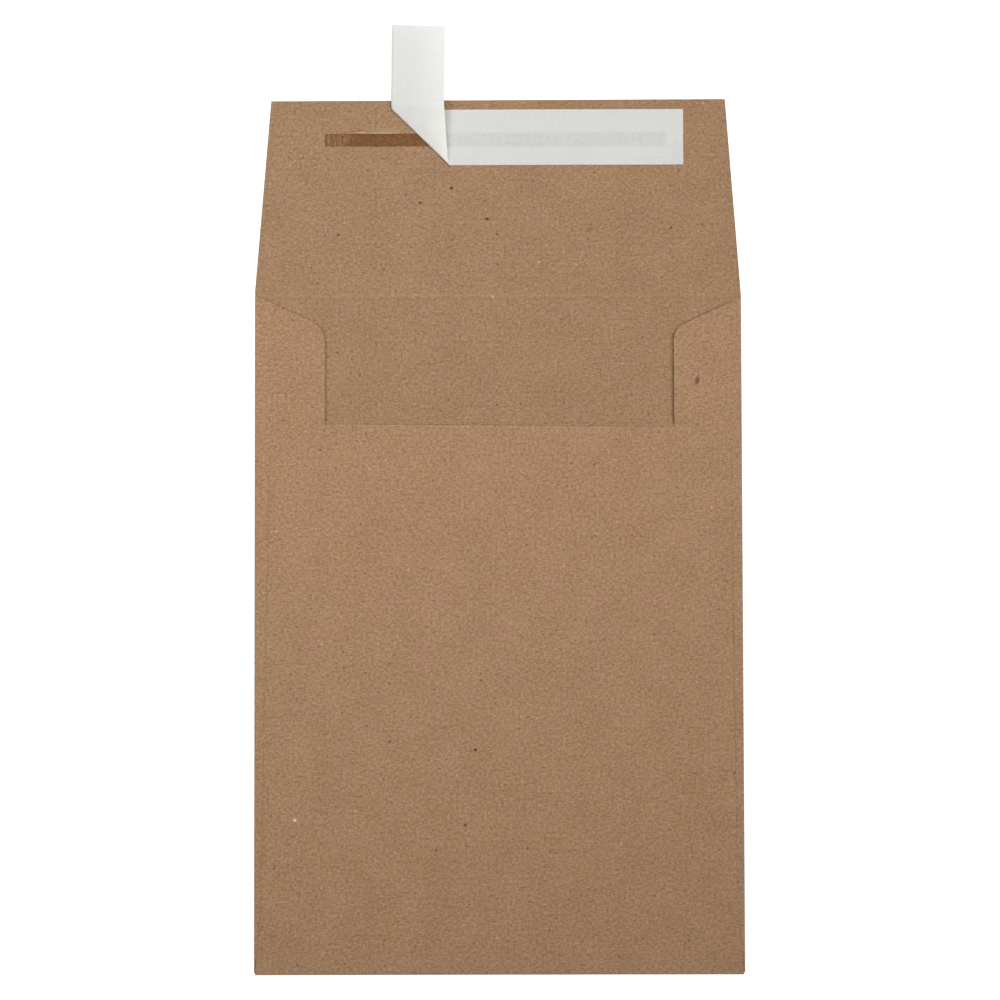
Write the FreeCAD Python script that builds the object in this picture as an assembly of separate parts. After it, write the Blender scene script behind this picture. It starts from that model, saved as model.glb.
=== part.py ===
# A kraft paper envelope with a peel-and-seal flap, lying open with its address side down.
# All sizes are millimetres. X runs across the envelope, +Y towards the open flap, +Z upwards.
# The origin is the centre of the pocket's address face, which lies on Z = 0.
import FreeCAD
import Part

import math
import os

# Pocket, measured over its folds
pocket_width = 133.35
pocket_height = 184.15

# Kraft sheet, and the air left inside a fold where the sheet lies back on itself
paper_thickness = 0.15
fold_gap = 0.10

# Score pressed into the address face, where the seal flap bends over
score_width = 0.9
score_depth = 0.06

# Seal flap beyond the score. Each side has its own size, because the blank was cut slightly askew.
flap_depth_left = 55.0
flap_depth_right = 55.2
flap_inset_left = 4.4
flap_inset_right = 4.1
flap_straight_left = 2.3
flap_straight_right = 1.0

# Side flaps, folded in over the front panel
side_flap_width_left = 19.3
side_flap_width_right = 18.5
side_flap_lead_left = 1.2
side_flap_lead_right = 0.25
side_flap_shoulder_angle = 24.8
side_flap_corner_left = 7.2
side_flap_corner_right = 4.9
side_flap_foot_gap = 4.0
side_flap_foot_angle = 15.0
side_flap_foot_corner = 3.0

# Back panel, folded up from the bottom over the side flaps
back_panel_height = 149.4
throat_skew_angle = 0.59
back_shoulder_angle = 32.0
back_shoulder_drop_left = 9.8
back_shoulder_drop_right = 6.3
back_shoulder_corner = 3.0
throat_corner = 2.5
seam_inset_top_left = 4.05
seam_inset_top_right = 3.0
seam_inset_low_left = 1.85
seam_inset_low_right = 2.05
seam_bevel_height = 19.0
bottom_fold_relief = 0.35

# Seam glue between the back panel and the side flaps
seam_glue_thickness = 0.04
seam_glue_width = 8.0
seam_glue_margin = 1.5
seam_glue_end_margin = 3.5

# Strip of sealing adhesive on the seal flap
adhesive_thickness = 0.08
adhesive_length = 93.7
adhesive_width = 3.5
adhesive_edge_distance = 9.25
adhesive_shift = -0.65

# Release liner over the adhesive, peeled back from its left end
liner_thickness = 0.06
liner_width = 15.35
liner_length = 103.05
liner_edge_distance = 2.65
liner_overhang = 4.85
liner_end_angle = 4.0
peeled_length = 27.25
peel_fold_angle = 44.1
peel_fold_turn = 156.0
peel_fold_radius = 0.45
tail_bend_gap = 0.3
tail_bend_radius = 6.0
tail_bend_angle = 16.3

# Places that follow from the sizes above
half_width = pocket_width / 2
half_height = pocket_height / 2
side_fold_radius = paper_thickness + fold_gap / 2
side_flap_underside = paper_thickness + fold_gap
side_flap_top = side_flap_underside + paper_thickness
back_panel_underside = side_flap_top + seam_glue_thickness
back_panel_top = back_panel_underside + paper_thickness
bottom_fold_radius = back_panel_top / 2
bottom_fold_centre_y = bottom_fold_radius - half_height
adhesive_top = paper_thickness + adhesive_thickness
flap_middle_depth = (flap_depth_left + flap_depth_right) / 2
free_edge_y = half_height + flap_middle_depth


def vector(x, y, z=0.0):
    return FreeCAD.Vector(x, y, z)


def rounded_outline(corners, z):
    """Closed wire at height z through corners given as (x, y, radius); a radius of 0 leaves the corner sharp."""
    count = len(corners)
    entries = []
    for index in range(count):
        x, y, radius = corners[index]
        here = vector(x, y, z)
        before = vector(corners[index - 1][0], corners[index - 1][1], z) - here
        after = vector(corners[(index + 1) % count][0], corners[(index + 1) % count][1], z) - here
        before.normalize()
        after.normalize()
        if radius == 0:
            entries.append((here, None, here))
            continue
        half_angle = before.getAngle(after) / 2
        tangent_length = radius / math.tan(half_angle)
        middle = before + after
        middle.normalize()
        arc_middle = here + middle * (radius / math.sin(half_angle) - radius)
        entries.append((here + before * tangent_length, arc_middle, here + after * tangent_length))
    edges = []
    for index in range(count):
        start, arc_middle, end = entries[index]
        if arc_middle is not None:
            edges.append(Part.Arc(start, arc_middle, end).toShape())
        following = entries[(index + 1) % count][0]
        if end.distanceToPoint(following) > 1e-6:
            edges.append(Part.LineSegment(end, following).toShape())
    return Part.Wire(edges)


def plate(corners, bottom, thickness):
    """Flat sheet with the given outline, from the height bottom upwards."""
    face = Part.Face(rounded_outline(corners, bottom))
    return face.extrude(vector(0, 0, thickness))


def half_turn(centre, outward, outer_radius, run):
    """Sheet bent through half a turn: it bulges to outward and follows the vector run along the fold."""
    inner_radius = outer_radius - paper_thickness
    up = vector(0, 0, 1)
    outer = Part.Arc(
        centre - up * outer_radius, centre + outward * outer_radius, centre + up * outer_radius
    ).toShape()
    inner = Part.Arc(
        centre + up * inner_radius, centre + outward * inner_radius, centre - up * inner_radius
    ).toShape()
    top = Part.LineSegment(centre + up * outer_radius, centre + up * inner_radius).toShape()
    bottom = Part.LineSegment(centre - up * inner_radius, centre - up * outer_radius).toShape()
    section = Part.Face(Part.Wire([outer, top, inner, bottom]))
    return section.extrude(run)


def one_solid(pieces):
    """Pieces that share faces, joined into a single solid."""
    joined = pieces[0].fuse(pieces[1:]).removeSplitter()
    return joined.Solids[0] if len(joined.Solids) == 1 else joined


# Ends of the side folds, along Y
fold_foot_y = side_flap_foot_gap - half_height
fold_lead_left_y = half_height + side_flap_lead_left
fold_lead_right_y = half_height + side_flap_lead_right
fold_left_x = side_fold_radius - half_width
fold_right_x = half_width - side_fold_radius

# Front panel and seal flap in one outline, notched at each side where the sheet turns over
front_panel = plate(
    [
        (-half_width, bottom_fold_centre_y, 0),
        (half_width, bottom_fold_centre_y, 0),
        (half_width, fold_foot_y, 0),
        (fold_right_x, fold_foot_y, 0),
        (fold_right_x, fold_lead_right_y, 0),
        (half_width, fold_lead_right_y, 0),
        (half_width, half_height + flap_straight_right, 0),
        (half_width - flap_inset_right, half_height + flap_depth_right, 0),
        (flap_inset_left - half_width, half_height + flap_depth_left, 0),
        (-half_width, half_height + flap_straight_left, 0),
        (-half_width, fold_lead_left_y, 0),
        (fold_left_x, fold_lead_left_y, 0),
        (fold_left_x, fold_foot_y, 0),
        (-half_width, fold_foot_y, 0),
    ],
    0.0,
    paper_thickness,
)



def score_ridge(base_z):
    """Low rounded ridge across the sheet between the side folds, standing on the height base_z."""
    near = vector(fold_left_x, half_height - score_width / 2, base_z)
    crest = vector(fold_left_x, half_height, base_z + score_depth)
    far = vector(fold_left_x, half_height + score_width / 2, base_z)
    section = Part.Face(
        Part.Wire([Part.Arc(near, crest, far).toShape(), Part.LineSegment(far, near).toShape()])
    )
    return section.extrude(vector(fold_right_x - fold_left_x, 0, 0))


# Score: a groove in the address face, and the bead that it raises on the inner face.
# The bead is lower than the air inside a side fold, so it clears the side flaps.
front_panel = front_panel.cut(score_ridge(0.0))
front_panel = front_panel.fuse(score_ridge(paper_thickness))

# Side folds
left_fold = half_turn(
    vector(fold_left_x, fold_foot_y, side_fold_radius),
    vector(-1, 0, 0),
    side_fold_radius,
    vector(0, fold_lead_left_y - fold_foot_y, 0),
)
right_fold = half_turn(
    vector(fold_right_x, fold_foot_y, side_fold_radius),
    vector(1, 0, 0),
    side_fold_radius,
    vector(0, fold_lead_right_y - fold_foot_y, 0),
)


def side_flap_corners(side, width, lead_y, corner_radius):
    """Outline of a side flap; side is -1 on the left and 1 on the right."""
    reach = width - side_fold_radius
    root_x = side * (half_width - side_fold_radius)
    inner_x = side * (half_width - width)
    shoulder_fall = reach * math.tan(math.radians(side_flap_shoulder_angle))
    foot_rise = reach * math.tan(math.radians(side_flap_foot_angle))
    return [
        (root_x, fold_foot_y, 0),
        (inner_x, fold_foot_y + foot_rise, side_flap_foot_corner),
        (inner_x, lead_y - shoulder_fall, corner_radius),
        (root_x, lead_y, 0),
    ]


left_side_flap = plate(
    side_flap_corners(-1, side_flap_width_left, fold_lead_left_y, side_flap_corner_left),
    side_flap_underside,
    paper_thickness,
)
right_side_flap = plate(
    side_flap_corners(1, side_flap_width_right, fold_lead_right_y, side_flap_corner_right),
    side_flap_underside,
    paper_thickness,
)

# Bottom fold
bottom_fold = half_turn(
    vector(bottom_fold_relief - half_width, bottom_fold_centre_y, bottom_fold_radius),
    vector(0, -1, 0),
    bottom_fold_radius,
    vector(pocket_width - 2 * bottom_fold_relief, 0, 0),
)


def throat_y(x):
    """Height of the back panel's top edge, which falls slightly to the right."""
    return back_panel_height - half_height - x * math.tan(math.radians(throat_skew_angle))


# Back panel: its sides run just inside the side folds, and its shoulders slope up to the throat
seam_low_y = seam_bevel_height - half_height
shoulder_slope = math.tan(math.radians(back_shoulder_angle))
seam_top_left_x = seam_inset_top_left - half_width
seam_top_right_x = half_width - seam_inset_top_right
throat_left_x = seam_top_left_x + back_shoulder_drop_left / shoulder_slope
throat_right_x = seam_top_right_x - back_shoulder_drop_right / shoulder_slope
seam_top_left_y = throat_y(throat_left_x) - back_shoulder_drop_left
seam_top_right_y = throat_y(throat_right_x) - back_shoulder_drop_right
back_panel = plate(
    [
        (bottom_fold_relief - half_width, bottom_fold_centre_y, 0),
        (half_width - bottom_fold_relief, bottom_fold_centre_y, 0),
        (half_width - seam_inset_low_right, seam_low_y, 0),
        (seam_top_right_x, seam_top_right_y, back_shoulder_corner),
        (throat_right_x, throat_y(throat_right_x), throat_corner),
        (throat_left_x, throat_y(throat_left_x), throat_corner),
        (seam_top_left_x, seam_top_left_y, back_shoulder_corner),
        (seam_inset_low_left - half_width, seam_low_y, 0),
    ],
    back_panel_underside,
    paper_thickness,
)

envelope = one_solid(
    [front_panel, left_fold, right_fold, left_side_flap, right_side_flap, bottom_fold, back_panel]
)


def seam_glue(side, width, inset_low, inset_top, corner_y):
    """Line of glue that follows one side edge of the back panel, on top of the side flap."""
    foot_rise = (width - side_fold_radius) * math.tan(math.radians(side_flap_foot_angle))
    low_y = fold_foot_y + foot_rise + seam_glue_end_margin
    high_y = corner_y - seam_glue_end_margin
    outer_low = half_width - inset_low - seam_glue_margin
    outer_high = half_width - inset_top - seam_glue_margin
    return plate(
        [
            (side * outer_low, low_y, 0),
            (side * (outer_low - seam_glue_width), low_y, 0),
            (side * (outer_high - seam_glue_width), high_y, 0),
            (side * outer_high, high_y, 0),
        ],
        side_flap_top,
        seam_glue_thickness,
    )


left_seam_glue = seam_glue(
    -1, side_flap_width_left, seam_inset_low_left, seam_inset_top_left, seam_top_left_y
)
right_seam_glue = seam_glue(
    1, side_flap_width_right, seam_inset_low_right, seam_inset_top_right, seam_top_right_y
)

# Sealing adhesive: a flat strip along the seal flap
adhesive_left_x = adhesive_shift - adhesive_length / 2
adhesive_right_x = adhesive_shift + adhesive_length / 2
adhesive_high_y = free_edge_y - adhesive_edge_distance
seal_adhesive = plate(
    [
        (adhesive_left_x, adhesive_high_y - adhesive_width, 0),
        (adhesive_right_x, adhesive_high_y - adhesive_width, 0),
        (adhesive_right_x, adhesive_high_y, 0),
        (adhesive_left_x, adhesive_high_y, 0),
    ],
    paper_thickness,
    adhesive_thickness,
)

# Release liner. Its flat part ends at a slanting fold line, turns over about that line,
# runs on as a raised tail and then bends gently back towards the horizontal.
liner_centre_y = free_edge_y - liner_edge_distance - liner_width / 2
liner_right_x = adhesive_right_x + liner_overhang
fold_point = vector(adhesive_left_x + peeled_length, liner_centre_y, adhesive_top)
fold_angle = math.radians(peel_fold_angle)
fold_turn = math.radians(peel_fold_turn)
along_fold = vector(math.cos(fold_angle), -math.sin(fold_angle))
past_fold = vector(-math.sin(fold_angle), -math.cos(fold_angle))
upwards = vector(0, 0, 1)
middle_radius = peel_fold_radius + liner_thickness / 2
turn_length = middle_radius * fold_turn


def edge_along_fold(side, past):
    """Where a long edge of the strip (side 1 upper, -1 lower) crosses a line at the distance past the fold."""
    return -(side * liner_width / 2 + past * math.cos(fold_angle)) / math.sin(fold_angle)


def on_flat(along):
    return fold_point + along_fold * along


def turned(along, radius, angle):
    """Point of the turned-over part, at a radius about the fold's axis."""
    axis_point = fold_point + upwards * (peel_fold_radius + liner_thickness)
    return (
        axis_point
        + along_fold * along
        + past_fold * (radius * math.sin(angle))
        - upwards * (radius * math.cos(angle))
    )


upper_end = on_flat(edge_along_fold(1, 0.0))
lower_end = on_flat(edge_along_fold(-1, 0.0))
liner_flat = plate(
    [
        (lower_end.x, lower_end.y, 0),
        (liner_right_x, lower_end.y, 0),
        (liner_right_x, upper_end.y, 0),
        (upper_end.x, upper_end.y, 0),
    ],
    adhesive_top,
    liner_thickness,
)

# The turn is lofted through narrow cross-sections that swing about the fold's axis
turn_sections = []
turn_steps = 12
for step in range(turn_steps + 1):
    angle = fold_turn * step / turn_steps
    past = middle_radius * angle
    upper = edge_along_fold(1, past)
    lower = edge_along_fold(-1, past)
    outer_radius = peel_fold_radius + liner_thickness
    section_points = [
        turned(upper, outer_radius, angle),
        turned(lower, outer_radius, angle),
        turned(lower, peel_fold_radius, angle),
        turned(upper, peel_fold_radius, angle),
    ]
    turn_sections.append(Part.makePolygon(section_points + section_points[:1]))
liner_turn = Part.makeLoft(turn_sections, True, False)

# The tail is drawn flat, with its own X along the strip and Y across it, and set where the turn ends
past_turn = past_fold * math.cos(fold_turn) + upwards * math.sin(fold_turn)
tail_along = past_turn * math.sin(fold_angle) - along_fold * math.cos(fold_angle)
tail_across = along_fold * -math.sin(fold_angle) - past_turn * math.cos(fold_angle)
tail_normal = tail_along.cross(tail_across)
tail_origin = turned(0.0, middle_radius, fold_turn) - past_turn * turn_length
tail_placement = FreeCAD.Placement(
    FreeCAD.Matrix(
        tail_along.x, tail_across.x, tail_normal.x, tail_origin.x,
        tail_along.y, tail_across.y, tail_normal.y, tail_origin.y,
        tail_along.z, tail_across.z, tail_normal.z, tail_origin.z,
        0, 0, 0, 1,
    )
)


def distance_along_strip(side, past):
    """Distance along the strip from the fold point to where a long edge reaches the distance past the fold."""
    return (past + side * liner_width / 2 * math.cos(fold_angle)) / math.sin(fold_angle)


half_liner = liner_width / 2
tail_bend_start = distance_along_strip(1, turn_length) + tail_bend_gap
tail_plate = plate(
    [
        (distance_along_strip(-1, turn_length), -half_liner, 0),
        (tail_bend_start, -half_liner, 0),
        (tail_bend_start, half_liner, 0),
        (distance_along_strip(1, turn_length), half_liner, 0),
    ],
    -liner_thickness / 2,
    liner_thickness,
)
tail_section = Part.Face(
    Part.makePolygon(
        [
            vector(tail_bend_start, -half_liner, -liner_thickness / 2),
            vector(tail_bend_start, half_liner, -liner_thickness / 2),
            vector(tail_bend_start, half_liner, liner_thickness / 2),
            vector(tail_bend_start, -half_liner, liner_thickness / 2),
            vector(tail_bend_start, -half_liner, -liner_thickness / 2),
        ]
    )
)
bend_axis_point = vector(tail_bend_start, 0, -tail_bend_radius)
tail_bend = tail_section.revolve(bend_axis_point, vector(0, 1, 0), tail_bend_angle)
bend_length = tail_bend_radius * math.radians(tail_bend_angle)
strip_to_fold = liner_right_x - fold_point.x
tail_end_length = liner_length - strip_to_fold - tail_bend_start - bend_length
end_skew = half_liner * math.tan(math.radians(liner_end_angle))
tail_end = plate(
    [
        (tail_bend_start, -half_liner, 0),
        (tail_bend_start + tail_end_length - end_skew, -half_liner, 0),
        (tail_bend_start + tail_end_length + end_skew, half_liner, 0),
        (tail_bend_start, half_liner, 0),
    ],
    -liner_thickness / 2,
    liner_thickness,
)
tail_end.rotate(bend_axis_point, vector(0, 1, 0), tail_bend_angle)
tail_pieces = [tail_plate, tail_bend, tail_end]
for piece in tail_pieces:
    piece.Placement = tail_placement.multiply(piece.Placement)
release_liner = one_solid([liner_flat, liner_turn] + tail_pieces)

# One file for each piece
os.makedirs("parts", exist_ok=True)
pieces = {
    "envelope": envelope,
    "left_seam_glue": left_seam_glue,
    "right_seam_glue": right_seam_glue,
    "seal_adhesive": seal_adhesive,
    "release_liner": release_liner,
}
for name, shape in pieces.items():
    box = shape.BoundBox
    print(
        name,
        "valid" if shape.isValid() else "NOT VALID",
        "solids", len(shape.Solids),
        "faces", len(shape.Faces),
        "volume", round(shape.Volume, 3),
        "box", [round(v, 3) for v in (box.XMin, box.YMin, box.ZMin, box.XMax, box.YMax, box.ZMax)],
    )
    shape.exportStep("parts/" + name + ".step")
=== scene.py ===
# %% [markdown]
# An open kraft envelope, seen from straight above.
#
# The object is one die-cut sheet of brown kraft paper. Two side flaps are turned in over the front
# panel, the back panel is turned up over them and glued, and the seal flap lies open at the top.
# A strip of adhesive crosses the seal flap, and its thin white release liner has been peeled from
# the left end and turned over along a slanting fold.
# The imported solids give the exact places. Here each sheet gets its paper surface: the small lift of
# an edge, the bead of a score, the fibres, specks and gloss.

import math

import bpy
import numpy as np
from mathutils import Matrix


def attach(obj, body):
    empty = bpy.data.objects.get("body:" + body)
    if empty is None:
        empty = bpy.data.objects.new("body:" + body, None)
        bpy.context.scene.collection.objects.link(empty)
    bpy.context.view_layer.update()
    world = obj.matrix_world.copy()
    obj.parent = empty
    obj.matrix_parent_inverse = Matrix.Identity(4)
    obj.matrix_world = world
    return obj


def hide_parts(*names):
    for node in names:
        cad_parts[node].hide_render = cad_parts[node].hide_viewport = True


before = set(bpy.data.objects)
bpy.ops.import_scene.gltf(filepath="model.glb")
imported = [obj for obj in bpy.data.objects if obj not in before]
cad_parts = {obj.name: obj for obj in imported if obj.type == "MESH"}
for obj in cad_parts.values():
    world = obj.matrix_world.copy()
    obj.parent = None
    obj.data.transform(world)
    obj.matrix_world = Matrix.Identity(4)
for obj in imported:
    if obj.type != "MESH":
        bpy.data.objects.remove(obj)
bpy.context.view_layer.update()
print("solids", sorted(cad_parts))

# %% [markdown]
# Sizes. The solids already have them, so these are the same sizes again in millimetres, as a
# designer would read them from the drawing. Each sheet below is worked out on the middle of its
# thickness and is given its two faces afterwards.

# %% Sizes of the folded sheet, in millimetres
MM = 0.001
PAPER = 0.15
HALF_WIDTH = 133.35 / 2
HALF_HEIGHT = 184.15 / 2
SIDE_FOLD = 0.125
SIDE_FLAP_LEVEL = 0.325
BACK_PANEL_LEVEL = 0.515
BOTTOM_FOLD = 0.22
BOTTOM_RELIEF = 0.35
RELIEF_RISE = 0.4
EDGE_STEP = 0.15
FLAP_DEPTH = {"left": 55.0, "right": 55.2}
FLAP_INSET = {"left": 4.4, "right": 4.1}
FLAP_STRAIGHT = {"left": 2.3, "right": 1.0}
SIDE_FLAP_WIDTH = {"left": 19.3, "right": 18.5}
SIDE_FLAP_LEAD = {"left": 1.2, "right": 0.25}
SIDE_FLAP_CORNER = {"left": 7.2, "right": 4.9}
SHOULDER_SLOPE = math.tan(math.radians(24.8))
FOOT_SLOPE = math.tan(math.radians(15.0))
FOOT_GAP = 4.0
BACK_PANEL_HEIGHT = 149.4
THROAT_SLOPE = math.tan(math.radians(0.59))
BACK_SHOULDER_SLOPE = math.tan(math.radians(32.0))
BACK_SHOULDER_DROP = {"left": 9.8, "right": 6.3}
BACK_CORNER = 3.0
THROAT_CORNER = 2.5
SEAM_TOP = {"left": 4.05, "right": 3.0}
SEAM_LOW = {"left": 1.85, "right": 2.05}
SEAM_BEVEL = 19.0

SIDES = ("left", "right")
fold_x = HALF_WIDTH - SIDE_FOLD - PAPER / 2
bottom_y = BOTTOM_FOLD + PAPER / 2 - HALF_HEIGHT
foot_y = FOOT_GAP - HALF_HEIGHT
lead_y = {side: HALF_HEIGHT + SIDE_FLAP_LEAD[side] for side in SIDES}
flap_top = {side: HALF_HEIGHT + FLAP_DEPTH[side] for side in SIDES}
print("fold line at x", round(fold_x, 3), "bottom fold at y", round(bottom_y, 3))

# %% [markdown]
# Paper is never quite flat. A folded envelope keeps a little spring: the free inner edges of the
# side flaps stand up by about a millimetre, and the back panel bows a little over the empty pocket.
# Each of these is a height added to a flat sheet, as a smooth function of x and y that is zero
# where the sheet is folded or glued. The score is a low bead, pressed up from the other face.


# %% Small heights of the paper
def smooth_step(low, high, value):
    """Rises from 0 at low to 1 at high as 3 t squared minus 2 t cubed."""
    t = np.clip((value - low) / (high - low), 0.0, 1.0)
    return t * t * (3.0 - 2.0 * t)


SCORE_BEAD_HEIGHT = 0.13
SCORE_BEAD_REACH = 0.42
SCORE_BEAD_OFFSET = 0.5
SCORE_BEAD_FADE = (0.3, 2.5)
FLAP_LIFT = 0.10
BACK_BOW = 0.12
BACK_BOW_REACH = 46.0
BACK_BOW_RISE = (4.0, 60.0)
# The side flaps are free from just above the throat, and their shoulders rise at the very top.
SIDE_FLAP_LIFT = {"left": 0.85, "right": 0.9}
SIDE_FLAP_FREE = (57.3, 59.4)
SHOULDER_LIFT = {"left": 0.35, "right": 0.25}
SHOULDER_FREE = (82.0, 89.0)


def score_bead(x, y):
    """Bell curve across the score, fading out at the two side folds."""
    across = np.exp(-(((y - HALF_HEIGHT - SCORE_BEAD_OFFSET) / SCORE_BEAD_REACH) ** 2))
    return SCORE_BEAD_HEIGHT * across * smooth_step(*SCORE_BEAD_FADE, HALF_WIDTH - np.abs(x))


def seal_flap_height(x, y):
    """Square of the distance beyond the score, with one slow wave across the flap."""
    t = np.clip((y - HALF_HEIGHT) / FLAP_DEPTH["left"], 0.0, 1.1)
    wave = 0.75 + 0.25 * np.cos(x / 17.0 + 0.6)
    return FLAP_LIFT * t * t * wave


def back_panel_height(x, y):
    """A bow over the free middle of the pocket, which runs out towards the seams and the bottom fold."""
    free = np.clip(1.0 - (x / BACK_BOW_REACH) ** 2, 0.0, 1.0) ** 2
    rise = smooth_step(*BACK_BOW_RISE, y + HALF_HEIGHT)
    wave = 0.85 + 0.15 * np.sin(y / 23.0 + x / 31.0)
    return BACK_BOW * free * rise * wave


def side_flap_height(side, x, y):
    """Lift of the free edges above the throat: the inner one, and less the sloping one at the top."""
    inwards = np.clip((HALF_WIDTH - np.abs(x)) / SIDE_FLAP_WIDTH[side], 0.0, 1.0)
    inner = SIDE_FLAP_LIFT[side] * inwards**1.4 * smooth_step(*SIDE_FLAP_FREE, y)
    shoulder = SHOULDER_LIFT[side] * smooth_step(0.0, 0.5, inwards) * smooth_step(*SHOULDER_FREE, y)
    return inner + shoulder


print("side flap edges rise by", SIDE_FLAP_LIFT, "and their shoulders by", SHOULDER_LIFT, "more")

# %% [markdown]
# The folded sheet is made as four grids that share their edges. The front panel and the seal flap
# are one grid. Each side flap is a grid that starts on the fold line, runs round half a turn and
# comes back over the front panel. The back panel does the same from the bottom fold.
# Every point also remembers where it was on the flat blank before folding. That map carries the
# paper's fibres round the folds without a break, as the real sheet does.


# %% Outlines of the panels
def corner_fall(distance, radius, slope):
    """How far a rounded corner lies below the straight sloping line, at a distance from its upright side.

    The corner joins an upright side to a line of the given slope by an arc of the given radius. The
    arc's height is that of the circle, and beyond the point of contact the fall is zero.
    """
    angle = math.atan(slope)
    contact = radius * (1.0 - math.sin(angle))
    inside = np.clip(distance, 0.0, contact)
    circle = np.sqrt(np.maximum(radius**2 - (radius - inside) ** 2, 0.0))
    circle_at_contact = radius * math.cos(angle)
    line = slope * (inside - contact)
    return np.where(distance < contact, line - (circle - circle_at_contact), 0.0)


def throat_line(x):
    """Height of the throat, a straight line that leans a little."""
    return BACK_PANEL_HEIGHT - HALF_HEIGHT - x * THROAT_SLOPE


def back_panel_top(x):
    """Height of the back panel's upper edge: throat line, sloping shoulders and rounded corners."""
    top = throat_line(x)
    for side, sign in zip(SIDES, (-1.0, 1.0)):
        seam_x = HALF_WIDTH - SEAM_TOP[side]
        run = BACK_SHOULDER_DROP[side] / BACK_SHOULDER_SLOPE
        into_shoulder = sign * x - (seam_x - run)
        start = throat_line(sign * (seam_x - run))
        line = start - BACK_SHOULDER_SLOPE * into_shoulder
        # A short parabola rounds the turn from the throat into the shoulder.
        slope_change = THROAT_CORNER * math.tan(math.atan(BACK_SHOULDER_SLOPE) / 2)
        round_off = np.clip(1.0 - np.abs(into_shoulder) / slope_change, 0.0, 1.0) ** 2
        line = line - corner_fall(seam_x - sign * x, BACK_CORNER, BACK_SHOULDER_SLOPE)
        line = np.where(into_shoulder > 0.0, line, top)
        top = np.where(into_shoulder > -slope_change, np.minimum(top, line), top)
        top = top - 0.25 * BACK_SHOULDER_SLOPE * slope_change * round_off
    return top


def seam_x_at(side, y):
    """Distance of the back panel's side edge from the middle, at the height y."""
    corner_y = throat_line(0.0) - BACK_SHOULDER_DROP[side]
    levels = [bottom_y, SEAM_BEVEL - HALF_HEIGHT, corner_y]
    insets = [BOTTOM_RELIEF, SEAM_LOW[side], SEAM_TOP[side]]
    return HALF_WIDTH - np.interp(y, levels, insets)


def front_edge_x(side, y):
    """Distance of the front sheet's side edge from the middle, at the height y."""
    levels = [bottom_y, bottom_y + RELIEF_RISE, foot_y - EDGE_STEP, foot_y]
    levels += [lead_y[side], lead_y[side] + EDGE_STEP]
    places = [HALF_WIDTH - BOTTOM_RELIEF, HALF_WIDTH, HALF_WIDTH, fold_x, fold_x, HALF_WIDTH]
    levels += [HALF_HEIGHT + FLAP_STRAIGHT[side], flap_top[side]]
    places += [HALF_WIDTH, HALF_WIDTH - FLAP_INSET[side]]
    return np.interp(y, levels, places)


print("throat at y", round(throat_line(0.0), 2), "flap edge at y", flap_top)


# %% Grids that share edges
def grid_quads(index):
    """Quads of a grid of point numbers, counter-clockwise seen from above."""
    corners = [index[:-1, :-1], index[:-1, 1:], index[1:, 1:], index[1:, :-1]]
    return np.stack([part.ravel() for part in corners], axis=1)


class SheetGrids:
    """Collects grids of points on a folded sheet, each with its place on the flat blank."""

    def __init__(self):
        self.points = []
        self.blank = []
        self.quads = []
        self.count = 0

    def add(self, points, blank):
        """Adds one grid: points is rows x columns x 3, blank is rows x columns x 2."""
        rows, columns = points.shape[:2]
        index = self.count + np.arange(rows * columns).reshape(rows, columns)
        self.quads.append(grid_quads(index))
        self.points.append(points.reshape(-1, 3))
        self.blank.append(blank.reshape(-1, 2))
        self.count += rows * columns

    def welded(self):
        """One set of points for all grids: those closer than a ten-thousandth of a millimetre are one."""
        points = np.concatenate(self.points)
        blank = np.concatenate(self.blank)
        quads = np.concatenate(self.quads)
        keys = np.round(points * 1e4).astype(np.int64)
        first, same = np.unique(keys, axis=0, return_index=True, return_inverse=True)[1:]
        return points[first], blank[first], same.reshape(-1)[quads]


def mesh_from_grid(name, points, blank, quads):
    """Mesh in metres from millimetre points and quads, with the blank's place as a UV map.

    Edges that belong to one face only are the sheet's rim, and are marked sharp so that the paper's
    cut edge stays crisp once the sheet has its thickness.
    """
    mesh = bpy.data.meshes.new(name)
    mesh.from_pydata((points * MM).tolist(), [], quads.tolist())
    mesh.polygons.foreach_set("use_smooth", np.ones(len(mesh.polygons), dtype=bool))
    corner_points = np.empty(len(mesh.loops), dtype=np.int32)
    mesh.loops.foreach_get("vertex_index", corner_points)
    layer = mesh.uv_layers.new(name="blank_mm")
    layer.data.foreach_set("uv", blank[corner_points].astype(np.float32).ravel())
    corner_edges = np.empty(len(mesh.loops), dtype=np.int32)
    mesh.loops.foreach_get("edge_index", corner_edges)
    faces_on_edge = np.bincount(corner_edges, minlength=len(mesh.edges))
    sharp = mesh.attributes.new("sharp_edge", "BOOLEAN", "EDGE")
    sharp.data.foreach_set("value", faces_on_edge == 1)
    mesh.update()
    piece = bpy.data.objects.new(name, mesh)
    bpy.context.scene.collection.objects.link(piece)
    return piece


def give_thickness(piece, thickness, other_face=0, cut_edge=0):
    """Two faces and a cut edge around the middle surface; the numbers pick their material slots."""
    solid = piece.modifiers.new("paper thickness", "SOLIDIFY")
    solid.thickness = thickness * MM
    solid.offset = 0.0
    solid.use_even_offset = False
    solid.material_offset = other_face
    solid.material_offset_rim = cut_edge


# %% Rows and columns shared by the four grids
near_score = [-2.0, -1.2, -0.8, -0.5, -0.25, 0.0, 0.2, 0.4, 0.6, 0.8, 1.05, 1.6]
fine_near_score = HALF_HEIGHT + np.array(near_score)
body_rows = np.linspace(foot_y, HALF_HEIGHT - 3.2, 96)
# The front sheet needs the same rows on both of its sides, so both sides use the left side's rows.
below_lead = fine_near_score[fine_near_score < lead_y["left"] - 0.02]
shared_rows = np.unique(np.concatenate([body_rows, below_lead, [lead_y["left"]]]))
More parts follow.
